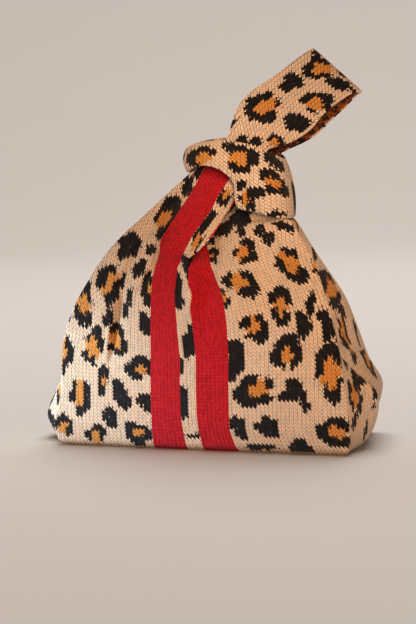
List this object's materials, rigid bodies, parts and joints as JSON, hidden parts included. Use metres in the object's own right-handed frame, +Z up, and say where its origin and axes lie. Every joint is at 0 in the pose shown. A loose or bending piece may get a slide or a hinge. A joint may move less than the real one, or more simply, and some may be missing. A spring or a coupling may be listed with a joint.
{
  "type": "knitted knot bag",
  "caption": "Soft knitted knot bag standing on a flat bottom, its long handle loop drawn through the short one so that the mouth is gathered.",
  "frame": {"origin": "middle of the flat bottom, on the surface that the bag stands on", "axes": "+Z up, the striped front looks along -Y, +X towards the side that the long handle leans to"},
  "size_m": [0.3144, 0.1257, 0.3475],
  "materials": {
    "knit": "matte double knit with dark spots on a cream ground and two red stripes"
  },
  "bodies": {
    "root": {"body": "knit", "short_handle": "knit", "long_handle": "knit"}
  },
  "joints": []
}
